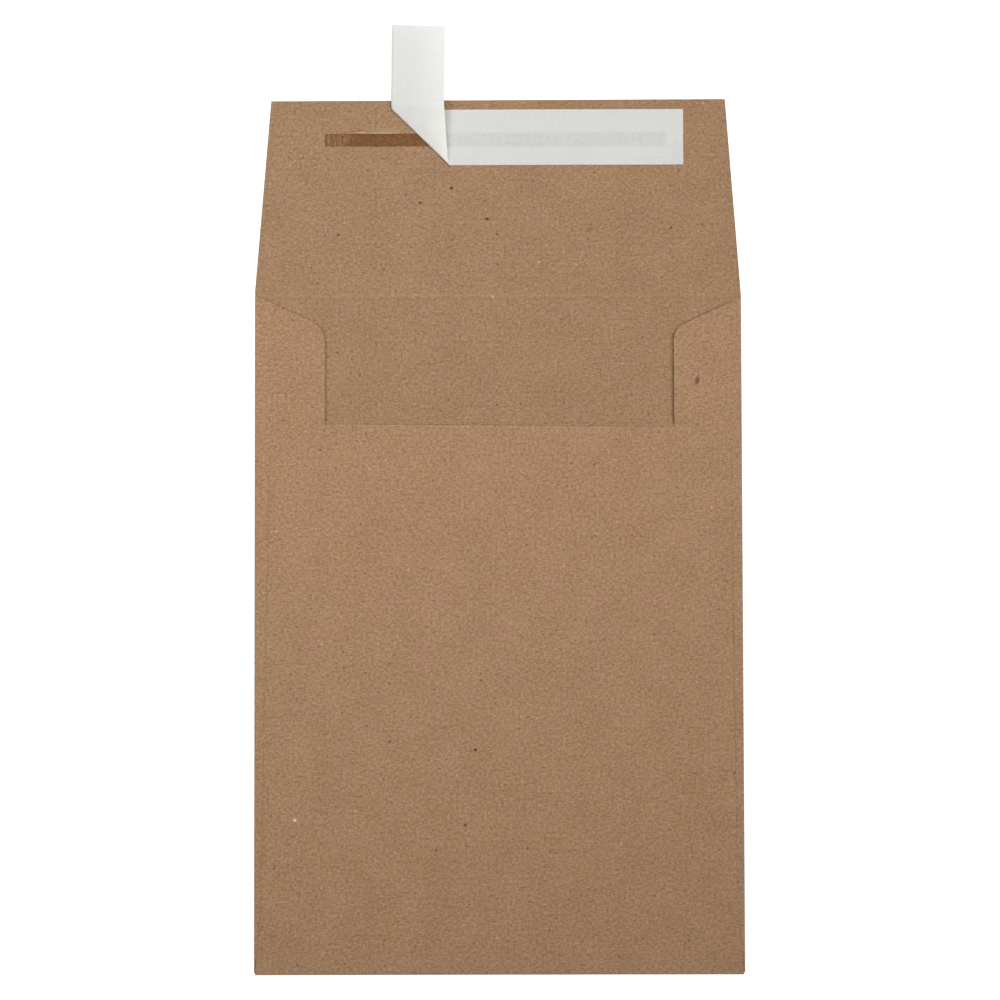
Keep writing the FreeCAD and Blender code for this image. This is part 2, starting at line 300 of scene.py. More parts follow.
# Columns are closest together at the seams, close under the shoulders and even in the middle. The
# zones are shares of the width.
seam_zone = 0.052
shoulder_zone = 0.17
edge_shares = seam_zone * (1.0 - np.cos(np.linspace(0.0, math.pi / 2, 12)))
shoulder_shares = np.linspace(seam_zone, shoulder_zone, 18)[1:]
centre_shares = np.linspace(shoulder_zone, 1.0 - shoulder_zone, 50)[1:-1]
half_shares = np.concatenate([edge_shares, shoulder_shares])
across_shares = np.concatenate([half_shares, centre_shares, 1.0 - half_shares[::-1]])
print("columns", len(across_shares), "rows along the folds", len(shared_rows))

# %% Front panel and seal flap
sheet = SheetGrids()
rows_below = np.array([bottom_y, bottom_y + RELIEF_RISE, foot_y - 1.5, foot_y - EDGE_STEP])
rows_above = np.concatenate([[lead_y["left"] + EDGE_STEP], HALF_HEIGHT + np.array([1.8, 2.3])])
flap_shares = np.linspace(0.0, 1.0, 36)[1:]


def across(left, right):
    """One row of values for each left and right value, from one to the other at the shared fractions."""
    left, right = np.atleast_1d(left, right)
    return left[:, None] + (right - left)[:, None] * across_shares[None, :]


flat_rows = np.concatenate([rows_below, shared_rows, rows_above])
x = across(-front_edge_x("left", flat_rows), front_edge_x("right", flat_rows))
y = np.repeat(flat_rows[:, None], x.shape[1], axis=1)
flap_base = flat_rows[-1]
flap_left_y = flap_base + (flap_top["left"] - flap_base) * flap_shares
flap_right_y = flap_base + (flap_top["right"] - flap_base) * flap_shares
flap_x = across(-front_edge_x("left", flap_left_y), front_edge_x("right", flap_right_y))
flap_y = across(flap_left_y, flap_right_y)
x = np.concatenate([x, flap_x])
y = np.concatenate([y, flap_y])
z = PAPER / 2 + score_bead(x, y) + seal_flap_height(x, y)
sheet.add(np.stack([x, y, z], axis=2), np.stack([x, y], axis=2))
print("front panel and seal flap", x.shape)


# %% Side flaps
def side_flap_grid(side):
    """Half a turn about the fold line, then the flap, as rows along the fold and columns inwards."""
    sign = -1.0 if side == "left" else 1.0
    rows = shared_rows
    turn = np.linspace(0.0, math.pi, 10)
    radius = SIDE_FLAP_CORNER[side]
    inner_x = HALF_WIDTH - SIDE_FLAP_WIDTH[side]
    near_corner = inner_x + radius * (1.0 - np.cos(np.linspace(0.0, math.pi / 2, 13)))
    straight = np.linspace(near_corner[-1], fold_x, 12)[1:]
    flat_x = np.concatenate([near_corner, straight])[::-1][1:]
    lead = lead_y[side]
    high = lead - SHOULDER_SLOPE * (fold_x - flat_x)
    high = high - corner_fall(flat_x - inner_x, radius, SHOULDER_SLOPE)
    low = foot_y + FOOT_SLOPE * (fold_x - flat_x)
    # Rows above the flap's own lead fall together on its top edge.
    fold_y = np.minimum(rows, lead)
    share = (fold_y - rows[0]) / (lead - rows[0])
    flat_y = low[None, :] + (high - low)[None, :] * share[:, None]
    turn_y = np.repeat(fold_y[:, None], len(turn), axis=1)
    turn_x = np.repeat((fold_x + SIDE_FOLD * np.sin(turn))[None, :], len(rows), axis=0)
    turn_z = np.repeat((PAPER / 2 + SIDE_FOLD * (1.0 - np.cos(turn)))[None, :], len(rows), axis=0)
    flat_x = np.repeat(flat_x[None, :], len(rows), axis=0)
    flat_z = SIDE_FLAP_LEVEL + side_flap_height(side, flat_x, flat_y)
    x = sign * np.concatenate([turn_x, flat_x], axis=1)
    y = np.concatenate([turn_y, flat_y], axis=1)
    z = np.concatenate([turn_z, flat_z], axis=1)
    round_fold = np.repeat((fold_x + SIDE_FOLD * turn)[None, :], len(rows), axis=0)
    blank_x = np.concatenate([round_fold, 2 * fold_x + SIDE_FOLD * math.pi - flat_x], axis=1)
    points = np.stack([x, y, z], axis=2)
    blank = np.stack([sign * blank_x, y], axis=2)
    # Faces must turn the same way as on the front panel, so the left grid's columns are reversed.
    return (points[:, ::-1], blank[:, ::-1]) if side == "left" else (points, blank)


for side in SIDES:
    points, blank = side_flap_grid(side)
    sheet.add(points, blank)
    print(side, "side flap", points.shape)

# %% Back panel
turn = np.linspace(0.0, math.pi, 11)
panel_shares = np.concatenate([np.linspace(0.0, 0.03, 5)[1:], np.linspace(0.03, 1.0, 84)[1:]])
top_x = across(SEAM_TOP["left"] - HALF_WIDTH, HALF_WIDTH - SEAM_TOP["right"])[0]
top_y = back_panel_top(top_x)
panel_y = bottom_y + (top_y - bottom_y)[None, :] * panel_shares[:, None]
panel_x = across(-seam_x_at("left", panel_y[:, 0]), seam_x_at("right", panel_y[:, -1]))
panel_z = BACK_PANEL_LEVEL + back_panel_height(panel_x, panel_y)
first_x = across(BOTTOM_RELIEF - HALF_WIDTH, HALF_WIDTH - BOTTOM_RELIEF)[0]
turn_x = np.repeat(first_x[None, :], len(turn), axis=0)
turn_y = np.repeat((bottom_y - BOTTOM_FOLD * np.sin(turn))[:, None], len(first_x), axis=1)
turn_z = np.repeat((PAPER / 2 + BOTTOM_FOLD * (1.0 - np.cos(turn)))[:, None], len(first_x), axis=1)
x = np.concatenate([turn_x, panel_x])
y = np.concatenate([turn_y, panel_y])
z = np.concatenate([turn_z, panel_z])
round_fold = np.repeat((bottom_y - BOTTOM_FOLD * turn)[:, None], len(first_x), axis=1)
blank_y = np.concatenate([round_fold, 2 * bottom_y - BOTTOM_FOLD * math.pi - panel_y])
points = np.stack([x, y, z], axis=2)
blank = np.stack([x, blank_y], axis=2)
sheet.add(points[::-1], blank[::-1])
print("back panel", points.shape)

# %% The folded sheet as one piece
points, blank, quads = sheet.welded()
kraft_sheet = mesh_from_grid("kraft_sheet", points, blank, quads)
give_thickness(kraft_sheet, PAPER, other_face=1, cut_edge=2)
print("kraft sheet", len(points), "points", len(quads), "faces")
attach(kraft_sheet, "root")
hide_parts("envelope")

# %% [markdown]
# The sealing adhesive is a hot-melt that was laid on the seal flap as a soft ribbon. Its long edges
# wander by a twentieth of a millimetre and it thins out towards them. It stops raggedly at the left
# end, where the liner was pulled off it first, and a part of it was drawn down by the pull.

# %% Sealing adhesive
ADHESIVE_THICKNESS = 0.08
ADHESIVE_LEFT = -47.5
ADHESIVE_RIGHT = 46.2
ADHESIVE_HIGH = 137.925
ADHESIVE_WIDTH = 3.5
ADHESIVE_SOFT_EDGE = 0.6
EDGE_FULLNESS = 0.25
SMEAR_LEFT = -35.6
SMEAR_RIGHT = -26.3
SMEAR_RUN = 2.5


def slow_noise(length, knots, seed):
    """Smooth random line of the given length through evenly spaced random heights from -1 to 1.

    Between two heights it is the cubic whose slope at each is half the step between its neighbours.
    """
    heights = np.random.default_rng(seed).uniform(-1.0, 1.0, knots + 3)
    place = np.linspace(0.0, knots - 1e-6, length)
    base = place.astype(int)
    t = place - base
    p0, p1, p2, p3 = (heights[base + k] for k in range(4))
    square = (2 * p0 - 5 * p1 + 4 * p2 - p3) * t**2
    cube = (3 * p1 - p0 - 3 * p2 + p3) * t**3
    return 0.5 * (2 * p1 + (p2 - p0) * t + square + cube)


def adhesive_ribbon():
    """Places and the two heights of the ribbon: slow noise moves its edges, ends move row by row.

    Its thickness is a quarter at the border and grows inwards as the square root of the distance.
    """
    columns = 320
    rows = 17
    share = np.linspace(0.0, 1.0, columns)
    high = ADHESIVE_HIGH + 0.02 + 0.04 * slow_noise(columns, 60, 3)
    low = ADHESIVE_HIGH - ADHESIVE_WIDTH + 0.02 + 0.05 * slow_noise(columns, 70, 4)
    up = np.linspace(0.0, 1.0, rows)
    left = ADHESIVE_LEFT + 0.10 + 0.09 * slow_noise(rows, 9, 5)
    right = ADHESIVE_RIGHT - 0.1 + 0.08 * slow_noise(rows, 6, 6)
    x = left[:, None] + (right - left)[:, None] * share[None, :]
    pulled = smooth_step(SMEAR_LEFT, SMEAR_LEFT + SMEAR_RUN, x[0])
    pulled = pulled * smooth_step(SMEAR_RIGHT, SMEAR_RIGHT - SMEAR_RUN, x[0])
    high = high - pulled * 0.10 * np.abs(slow_noise(columns, 90, 8))
    low = low - pulled * 0.08
    y = low[None, :] + (high - low)[None, :] * up[:, None]
    from_edge = np.minimum(up, 1.0 - up)[:, None] * ADHESIVE_WIDTH
    from_end = np.minimum(x - left[:, None], right[:, None] - x)
    fullness = np.sqrt(np.clip(np.minimum(from_edge, from_end) / ADHESIVE_SOFT_EDGE, 0.0, 1.0))
    floor = PAPER + seal_flap_height(x, y) + score_bead(x, y)
    top = floor + ADHESIVE_THICKNESS * (EDGE_FULLNESS + (1.0 - EDGE_FULLNESS) * fullness)
    return x, y, floor, top


x, y, floor, top = adhesive_ribbon()
rows, columns = x.shape
upper = np.arange(rows * columns).reshape(rows, columns)
lower = upper + rows * columns


def wall_quads(upper_line, lower_line):
    """Quads between two lines of point numbers that run counter-clockwise round a piece."""
    return np.stack([lower_line[:-1], lower_line[1:], upper_line[1:], upper_line[:-1]], axis=1)


def around(index):
    """Point numbers along the border of a grid, counter-clockwise, closed."""
    there = [index[0, :-1], index[:-1, -1]]
    back = [index[-1, :0:-1], index[:0:-1, 0], index[:1, 0]]
    return np.concatenate(there + back)


points = np.concatenate([np.stack([x, y, z], axis=2).reshape(-1, 3) for z in (top, floor)])
walls = wall_quads(around(upper), around(lower))
quads = np.concatenate([grid_quads(upper), grid_quads(lower)[:, ::-1], walls])
adhesive = mesh_from_grid("adhesive_ribbon", points, points[:, :2], quads)
print("adhesive", len(points), "points", len(quads), "faces")
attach(adhesive, "root")
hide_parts("seal_adhesive")

# %% [markdown]
# The release liner is a flat strip that can bend but not stretch. A point of the strip is given by
# its distance s from the right end and its distance w from the middle line. Up to the slanting fold
# line the strip lies flat. Past it, a point's distance from the line is measured along a small
# spiral, so the strip turns over and runs back as a raised tail. Where the tail has cleared the
# fold, it bends down again towards the horizontal about a line straight across it.

# %% Sizes of the liner, in millimetres and degrees
LINER_THICKNESS = 0.06
LINER_WIDTH = 15.35
LINER_LENGTH = 103.2
LINER_END_SLOPE = math.tan(math.radians(3.8))
LINER_RIGHT = 51.05
LINER_MIDDLE_Y = 136.85
LINER_LEVEL = PAPER + ADHESIVE_THICKNESS + LINER_THICKNESS / 2
FOLD_X = -20.45
FOLD_ANGLE = math.radians(44.4)
FOLD_TURN = math.radians(156.2)
FOLD_RADIUS = 0.43
TAIL_BEND = math.radians(15.2)
TAIL_BEND_START = 80.4
TAIL_BEND_LENGTH = 1.9
# The strip follows the seal flap's rise up to the fold and lets go of it over this stretch.
RISE_END = 88.0
RISE_FADE = 12.0
# The grid's rows are wide apart up to the first distance and close together up to the second.
WIDE_ROWS_END = 60.0
CLOSE_ROWS_END = 84.6
PROFILE_LENGTH = 60.0
print("liner", LINER_LENGTH, "x", LINER_WIDTH, "mm, middle at z", round(LINER_LEVEL, 3))


# %% Shape of the peeled liner
def turned_profile(turn, turn_length):
    """Side view of a strip that bends smoothly through an angle: distance run, way out and height.

    The direction rises from 0 to the full turn over the turn length, and the place is the running
    sum of the direction's cosine and sine.
    """
    run = np.linspace(0.0, PROFILE_LENGTH, 4000)
    direction = turn * np.clip(run / turn_length, 0.0, 1.0)
    step = run[1] - run[0]
    between = (direction[1:] + direction[:-1]) / 2
    out = np.concatenate([[0.0], np.cumsum(np.cos(between)) * step])
    up = np.concatenate([[0.0], np.cumsum(np.sin(between)) * step])
    return run, out, up


along_fold = np.array([math.cos(FOLD_ANGLE), -math.sin(FOLD_ANGLE), 0.0])
past_fold = np.array([-math.sin(FOLD_ANGLE), -math.cos(FOLD_ANGLE), 0.0])
upwards = np.array([0.0, 0.0, 1.0])
fold_point = np.array([FOLD_X, LINER_MIDDLE_Y, LINER_LEVEL])


def turned_over(s, w):
    """Place of a strip point with the slanting fold only.

    It is the fold point, plus the distance along the fold line, plus the profile's way out and
    height at the distance past that line.
    """
    flat = np.stack([LINER_RIGHT - s, LINER_MIDDLE_Y + w, np.full(s.shape, LINER_LEVEL)], axis=-1)
    from_point = flat - fold_point
    past = from_point @ past_fold
    along = from_point @ along_fold
    run, out, up = turned_profile(FOLD_TURN, FOLD_RADIUS * FOLD_TURN)
    way_out = np.where(past > 0.0, np.interp(past, run, out), past)
    height = np.where(past > 0.0, np.interp(past, run, up), 0.0)
    on_line = fold_point + along[..., None] * along_fold
    return on_line + way_out[..., None] * past_fold + height[..., None] * upwards


def peeled_liner(s, w):
    """Place of a strip point with the fold and the tail's own bend.

    Past the bend's start, the same kind of profile leads on from there and falls below the straight.
    """
    base = turned_over(np.minimum(s, TAIL_BEND_START), w)
    origin = turned_over(np.array([TAIL_BEND_START]), np.array([0.0]))[0]
    forward = turned_over(np.array([TAIL_BEND_START + 1.0]), np.array([0.0]))[0] - origin
    sideways = turned_over(np.array([TAIL_BEND_START]), np.array([1.0]))[0] - origin
    above = np.cross(forward, sideways)
    run, out, down = turned_profile(TAIL_BEND, TAIL_BEND_LENGTH)
    beyond = np.maximum(s - TAIL_BEND_START, 0.0)
    way_out = np.interp(beyond, run, out)
    fall = np.interp(beyond, run, down)
    place = base + way_out[..., None] * forward - fall[..., None] * above
    rest = seal_flap_height(place[..., 0], place[..., 1])
    place[..., 2] += rest * np.clip((RISE_END - s) / RISE_FADE, 0.0, 1.0)
    return place


def liner_rows():
    """Distances along the strip: wide apart where it is flat, close together in the turn and bend."""
    flat = np.linspace(0.0, WIDE_ROWS_END, 42)
    turn = np.linspace(WIDE_ROWS_END, CLOSE_ROWS_END, 330)[1:]
    tail = np.linspace(CLOSE_ROWS_END, LINER_LENGTH, 30)[1:]
    return np.concatenate([flat, turn, tail])


s = liner_rows()
w = np.linspace(-LINER_WIDTH / 2, LINER_WIDTH / 2, 97)
s_grid, w_grid = np.meshgrid(s, w)
# The peeled end is cut slightly askew: past the bend, each row is stretched to its own length.
tail_share = np.clip((s_grid - CLOSE_ROWS_END) / (LINER_LENGTH - CLOSE_ROWS_END), 0.0, 1.0)
s_grid = s_grid + tail_share * LINER_END_SLOPE * w_grid
place = peeled_liner(s_grid, w_grid)
index = np.arange(s_grid.size).reshape(s_grid.shape)
# The strip runs towards -X, so the columns are reversed to keep the upper face outwards.
liner = mesh_from_grid(
    "liner_strip",
    place.reshape(-1, 3),
    np.stack([s_grid, w_grid], axis=2).reshape(-1, 2),
    grid_quads(index[:, ::-1]),
)
give_thickness(liner, LINER_THICKNESS, other_face=1)
print("liner", s_grid.size, "points, top at", round(place[..., 2].max(), 2), "mm")
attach(liner, "root")
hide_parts("release_liner")

# %% [markdown]
# Colours are written as they show on a screen and turned to the linear values that shaders need.
# One small function adds a node, sets it and links it, which keeps each material readable. Three
# more do what several finishes share: a cloudy mask, colours laid over a paint, and the last values.


# %% Helpers for materials
def colour(code):
    """Linear red, green, blue and alpha from a screen colour written as six hex digits."""
    values = np.array([int(code[i : i + 2], 16) for i in (1, 3, 5)]) / 255.0
    linear = np.where(values <= 0.04045, values / 12.92, ((values + 0.055) / 1.055) ** 2.4)
    return (*linear.tolist(), 1.0)


def add_node(tree, kind, inputs=None, **settings):
    """Adds a node, sets its properties, and gives each named or numbered input a value or a link."""
    node = tree.nodes.new(kind)
    for name, value in settings.items():
        setattr(node, name, value)
    for key, value in (inputs or {}).items():
        if isinstance(value, bpy.types.NodeSocket):
            tree.links.new(value, node.inputs[key])
        else:
            node.inputs[key].default_value = value
    return node


def new_material(name):
    """Empty node material and its shader, already linked to the output."""
    material = bpy.data.materials.new(name)
    material.use_nodes = True
    tree = material.node_tree
    tree.nodes.clear()
    shader = tree.nodes.new("ShaderNodeBsdfPrincipled")
    output = tree.nodes.new("ShaderNodeOutputMaterial")
    tree.links.new(shader.outputs["BSDF"], output.inputs["Surface"])
    return material, tree, shader


def noise_mask(tree, place, scale, detail, roughness, low, high, full=1.0):
    """Noise stretched so that low becomes 0 and high becomes full, and cut off beyond them."""
    noise = add_node(
        tree,
        "ShaderNodeTexNoise",
        {"Vector": place, "Scale": scale, "Detail": detail, "Roughness": roughness},
        noise_dimensions="2D",
    ).outputs["Fac"]
    return add_node(
        tree, "ShaderNodeMapRange", {"Value": noise, "From Min": low, "From Max": high, "To Max": full}
    ).outputs["Result"]


def lay_over(tree, paint, layers):
    """Lays colours over a paint one by one, each as far as its mask times its strength."""
    for mask, tint, strength in layers:
        part = add_node(tree, "ShaderNodeMath", {0: mask, 1: strength}, operation="MULTIPLY").outputs[0]
        paint = add_node(
            tree, "ShaderNodeMix", {0: part, 6: paint, 7: colour(tint)}, data_type="RGBA"
        ).outputs[2]
    return paint


def dress_shader(tree, shader, paint, height, strength, depth, finish):
    """Gives a shader its colour, a relief of the given depth in metres, and its finish values."""
    tree.links.new(paint, shader.inputs["Base Color"])
    bump = add_node(tree, "ShaderNodeBump", {"Height": height, "Strength": strength, "Distance": depth})
    tree.links.new(bump.outputs["Normal"], shader.inputs["Normal"])
    for name, value in finish.items():
        shader.inputs[name].default_value = value


print("mid grey is", round(colour("#808080")[0], 3), "in linear values")

# %% [markdown]
# Uncoated kraft paper, made on a paper machine from long brown softwood fibres with some recycled
# fibre in it. The eye sees a matt brown that is never even: felted fibres about a millimetre long,
# lighter and darker, cloudy patches of several millimetres that lean to yellow or to grey, and a
# few dark specks and pale flecks of bark and shive.
# The pattern reads the map of the flat blank in millimetres, so a scale of 1 is one cell per mm.
# Fibres are 0.03 mm wide in truth; here they are drawn about 0.2 mm wide, or they would not show.


# %% Pattern of kraft paper
# The layers of noise that make the paper's tone: squeeze along x and y, turn in radians, scale,
# detail, roughness, distortion and strength. A squeeze across makes fibres that lie along x, about
# five times longer than wide. The turn comes after it and only picks another part of the noise.
PAPER_LAYERS = {
    "felt": ((1.0, 1.0), 0.0, 1.3, 4.0, 0.72, 0.0, 1.40),
    "strong fibres": ((0.85, 4.2), 0.35, 1.0, 1.0, 0.5, 0.6, 0.47),
    "weak fibres": ((0.85, 4.2), 1.5, 1.0, 1.0, 0.5, 0.6, 0.34),
    "other fibres": ((0.85, 4.2), 2.5, 1.0, 1.0, 0.5, 0.6, 0.40),
    "streaks from the paper machine": ((0.12, 1.3), 0.0, 1.0, 2.0, 0.5, 0.0, 0.16),
    "clouds": ((1.0, 1.0), 0.0, 0.10, 2.0, 0.5, 0.0, 0.17),
}


def kraft_pattern(tree, shift):
    """The blank's place, the same moved by shift, and a tone from 0 to 1 made at the moved place.

    The tone is a half plus, for each layer, its strength times how far its noise is from a half.
    Faces with different shifts don't repeat each other.
    """
    blank = add_node(tree, "ShaderNodeUVMap", uv_map="blank_mm").outputs["UV"]
    place = add_node(tree, "ShaderNodeMapping", {"Vector": blank, "Location": shift}).outputs["Vector"]
    tone = 0.5
    for squeeze, turn, scale, detail, roughness, distortion, strength in PAPER_LAYERS.values():
        lie = {"Rotation": (0.0, 0.0, turn), "Scale": (*squeeze, 1.0)}
        lying = add_node(tree, "ShaderNodeMapping", {"Vector": place, **lie}).outputs["Vector"]
        kind = {"Scale": scale, "Detail": detail, "Roughness": roughness, "Distortion": distortion}
        noise = add_node(
            tree, "ShaderNodeTexNoise", {"Vector": lying, **kind}, noise_dimensions="2D"
        ).outputs["Fac"]
        away = add_node(tree, "ShaderNodeMath", {0: noise, 1: -0.5}, operation="ADD").outputs[0]
        tone = add_node(
            tree, "ShaderNodeMath", {0: away, 1: strength, 2: tone}, operation="MULTIPLY_ADD"
        ).outputs[0]
    tone.node.use_clamp = True
    return blank, place, tone


def sprinkle(tree, place, cells_per_mm, share, smallest, largest):
    """Mask of scattered round specks: one may sit in each cell, and only the given share have one.

    It is 1 up to 0.45 of a speck's radius and falls to 0 at the radius.
    """
    cells = add_node(
        tree, "ShaderNodeTexVoronoi", {"Vector": place, "Scale": cells_per_mm}, voronoi_dimensions="2D"
    ).outputs
    chance = add_node(tree, "ShaderNodeSeparateColor", {"Color": cells["Color"]}).outputs[0]
    sizes = {"To Min": smallest * cells_per_mm, "To Max": largest * cells_per_mm}
    radius = add_node(
        tree, "ShaderNodeMapRange", {"Value": chance, "From Min": 1.0 - share, **sizes}
    ).outputs["Result"]
    core = add_node(tree, "ShaderNodeMath", {0: radius, 1: 0.45}, operation="MULTIPLY").outputs[0]
    ramp = {"Value": cells["Distance"], "From Min": radius, "From Max": core}
    near = add_node(tree, "ShaderNodeMapRange", ramp).outputs["Result"]
    present = add_node(
        tree, "ShaderNodeMath", {0: chance, 1: 1.0 - share}, operation="GREATER_THAN"
    ).outputs[0]
    return add_node(tree, "ShaderNodeMath", {0: near, 1: present}, operation="MULTIPLY").outputs[0]


# %% Marks on this sheet
# Each mark is an oval with its middle on the blank, its half lengths and its lean, in millimetres
# and degrees, and a colour with the strength it covers the paper. Most are the specks, flecks and
# rubbed spots that this one sheet has; those on the outer faces lie on the folded parts. The dark
# lines are painted shadow: the thin contact shadow beside an edge, which the soft lamps don't draw.
# The two bands along the score are a painted highlight above its bead and painted shade below it,
# and the pale line along the throat's edge is a painted highlight.
INNER_MARKS = {
    "speck above the middle": ((-12.7, 122.9), (0.58, 0.50), 20.0, "#3E2816", 0.90),
    "speck left of the middle": ((-21.3, 118.8), (0.50, 0.44), 0.0, "#452D1A", 0.85),
    "speck below the middle": ((-2.9, 114.3), (0.54, 0.48), 0.0, "#40291A", 0.90),
    "speck at the left": ((-43.8, 110.0), (0.46, 0.42), 0.0, "#4A3220", 0.80),
    "speck at the right": ((47.6, 111.7), (0.48, 0.34), 60.0, "#4A3220", 0.85),
    "rubbed spot": ((25.1, 111.2), (1.0, 0.65), 35.0, "#755539", 0.55),
    "speck at the free edge": ((11.5, 146.2), (0.30, 0.45), 0.0, "#5A4028", 0.6),
    "pale fleck over the score": ((11.3, 102.4), (0.34, 0.28), 0.0, "#E2CDAE", 0.55),
    "pale fleck at the score": ((-1.4, 92.8), (0.44, 0.38), 0.0, "#DCC6A6", 0.50),
    # The next two bands are painted light: a highlight above the score's bead and shade below it.
    "painted highlight above the score's bead": ((0.0, 93.25), (80.0, 0.42), 0.0, "#B08F70", 0.25),
    "painted shade below the score's bead": ((0.0, 92.15), (80.0, 0.42), 0.0, "#7A5B41", 0.08),
    "grey smear of adhesive": ((-31.0, 138.8), (5.0, 0.95), 0.0, "#A9937A", 0.36),
    "pale lower rim of the smear": ((-31.2, 138.2), (4.6, 0.24), 0.5, "#C8AE90", 0.42),
    "pale thread": ((-37.6, 138.28), (1.35, 0.17), 0.0, "#D8C0A2", 0.55),
    "torn fibre over the thread": ((-37.9, 138.85), (1.6, 0.13), 2.0, "#6B4B32", 0.6),
    "torn fibre at the left": ((-40.0, 138.6), (0.95, 0.14), 28.0, "#6B4B32", 0.55),
    "fold of fibres": ((-38.6, 139.5), (0.9, 0.12), -18.0, "#7B5C40", 0.5),
    "dark fibre low at the left": ((-43.5, 106.2), (0.7, 0.16), 50.0, "#5E432C", 0.28),
    "dark fibre at the right": ((33.0, 104.8), (0.65, 0.15), -20.0, "#5E432C", 0.5),
    "grey rub below the tail": ((-17.1, 127.6), (1.1, 0.85), 0.0, "#7A6C5C", 0.25),
    # The three dark lines below are painted contact shadow beside the throat's and the shoulders' edges.
    "dark line along the throat": ((0.0, 57.46), (60.0, 0.22), -0.6, "#5A3F29", 0.25),
    "dark line at the left shoulder": ((-58.6, 89.68), (9.5, 0.20), -25.1, "#5A3F29", 0.6),
    "dark line at the right shoulder": ((57.95, 88.82), (9.5, 0.19), 25.6, "#5A3F29", 0.34),
}


def blank_of_side_flap(x, y):
    """Place on the blank of a point seen on a folded side flap."""
    return (math.copysign(2 * fold_x + SIDE_FOLD * math.pi - abs(x), x), y)


def blank_of_back_panel(x, y):
    """Place on the blank of a point seen on the back panel."""
    return (x, 2 * bottom_y - BOTTOM_FOLD * math.pi - y)


OUTER_MARKS = {
    "smudge on the right side flap": (blank_of_side_flap(54.5, 69.5), (0.72, 1.25), 12.0, "#64462E", 0.8),
    "speck on the back panel": (blank_of_back_panel(-6.4, -31.2), (0.46, 0.40), 0.0, "#33200F", 0.95),
    "speck low on the back panel": (blank_of_back_panel(-9.2, -51.6), (0.50, 0.42), 0.0, "#40291A", 0.80),
    "pale fleck on the back panel": (blank_of_back_panel(-55.6, -50.2), (0.50, 0.40), 0.0, "#EDDFC6", 0.85),
    "yellow fleck on the back panel": (blank_of_back_panel(58.3, 34.8), (0.40, 0.34), 0.0, "#D8B45F", 0.85),
    # The two dark lines below are painted contact shadow beside the back panel's right edge.
    "dark line at the right corner": (blank_of_side_flap(63.4, 50.1), (0.17, 1.7), -12.8, "#5A3F29", 0.35),
    "dark line at the right seam": (blank_of_side_flap(64.13, -10.0), (0.16, 66.0), -0.38, "#5A3F29", 0.36),
    # Painted highlight: a faint pale line along the throat's cut edge.
    "painted highlight along the throat's edge": (blank_of_back_panel(0.0, 57.05), (60.0, 0.22), 0.6, "#DCC2A0", 0.07),
}


def oval_mask(tree, blank, middle, half_lengths, lean):
    """1 up to 0.45 of an oval's half lengths and 0 from 1.25 of them; it leans in degrees."""
    lie = {"Location": (*middle, 0.0), "Rotation": (0.0, 0.0, math.radians(lean))}
    lie |= {"Vector": blank, "Scale": (*half_lengths, 1.0)}
    oval = add_node(tree, "ShaderNodeMapping", lie, vector_type="TEXTURE").outputs["Vector"]
    distance = add_node(tree, "ShaderNodeVectorMath", {0: oval}, operation="LENGTH").outputs["Value"]
    return add_node(
        tree, "ShaderNodeMapRange", {"Value": distance, "From Min": 1.25, "From Max": 0.45}
    ).outputs["Result"]


print("marks", len(INNER_MARKS), "on the inner face", len(OUTER_MARKS), "on the outer face")


# %% Kraft paper as a material
# Round specks and flecks: cells per mm, share of cells, smallest and largest radius, and strength.
SPECKS = (
    (0.30, 0.22, 0.10, 0.34, "#5F4330", 0.62),
    (0.16, 0.11, 0.22, 0.50, "#523823", 0.60),
    (0.37, 0.10, 0.08, 0.26, "#D6BD9A", 0.45),
)
# Short shives are specks drawn out along x. The turn, in radians, only sets them in other places.
SHIVES = ((0.7, "#5A3F2B", 0.60), (-0.5, "#DEC6A4", 0.35), (2.0, "#62462F", 0.55))


def kraft_paper(name, dark, light, shift, marks):
    """Matt kraft paper between a dark and a light tone, with specks, flecks and this sheet's marks."""
    material, tree, shader = new_material(name)
    blank, place, tone = kraft_pattern(tree, shift)
    paint = add_node(
        tree, "ShaderNodeMix", {0: tone, 6: colour(dark), 7: colour(light)}, data_type="RGBA"
    ).outputs[2]
    cloud = noise_mask(tree, place, 0.14, 3.0, 0.5, 0.35, 0.65)
    # Clouds lean from yellowish to greyish.
    hue = add_node(
        tree, "ShaderNodeMix", {0: cloud, 6: colour("#9E7F50"), 7: colour("#A47C66")}, data_type="RGBA"
    ).outputs[2]
    paint = add_node(tree, "ShaderNodeMix", {0: 0.20, 6: paint, 7: hue}, data_type="RGBA").outputs[2]
    spots = []
    for cells, share, smallest, largest, tint, strength in SPECKS:
        spots.append((sprinkle(tree, place, cells, share, smallest, largest), tint, strength))
    for turn, tint, strength in SHIVES:
        lie = {"Rotation": (0.0, 0.0, turn), "Scale": (0.28, 1.0, 1.0)}
        lying = add_node(tree, "ShaderNodeMapping", {"Vector": place, **lie}).outputs["Vector"]
        spots.append((sprinkle(tree, lying, 0.5, 0.12, 0.08, 0.20), tint, strength))
    for middle, half_lengths, lean, tint, strength in marks.values():
        spots.append((oval_mask(tree, blank, middle, half_lengths, lean), tint, strength))
    paint = lay_over(tree, paint, spots)
    finish = {"Roughness": 0.86, "IOR": 1.47, "Specular IOR Level": 0.35}
    dress_shader(tree, shader, paint, tone, 0.35, 0.00003, finish)
    return material


UNMOVED = (0.0, 0.0, 0.0)
inner_kraft = kraft_paper("kraft paper, inner face", "#6F4F34", "#BB9877", UNMOVED, INNER_MARKS)
outer_kraft = kraft_paper(
    "kraft paper, outer face", "#785537", "#C6A07F", (311.0, 97.0, 0.0), OUTER_MARKS
)
cut_kraft = kraft_paper("kraft paper, cut edge", "#8C6B4C", "#C2A07A", (57.0, 211.0, 0.0), {})
for material in (inner_kraft, outer_kraft, cut_kraft):
    kraft_sheet.data.materials.append(material)
print("kraft nodes", len(inner_kraft.node_tree.nodes), len(outer_kraft.node_tree.nodes))


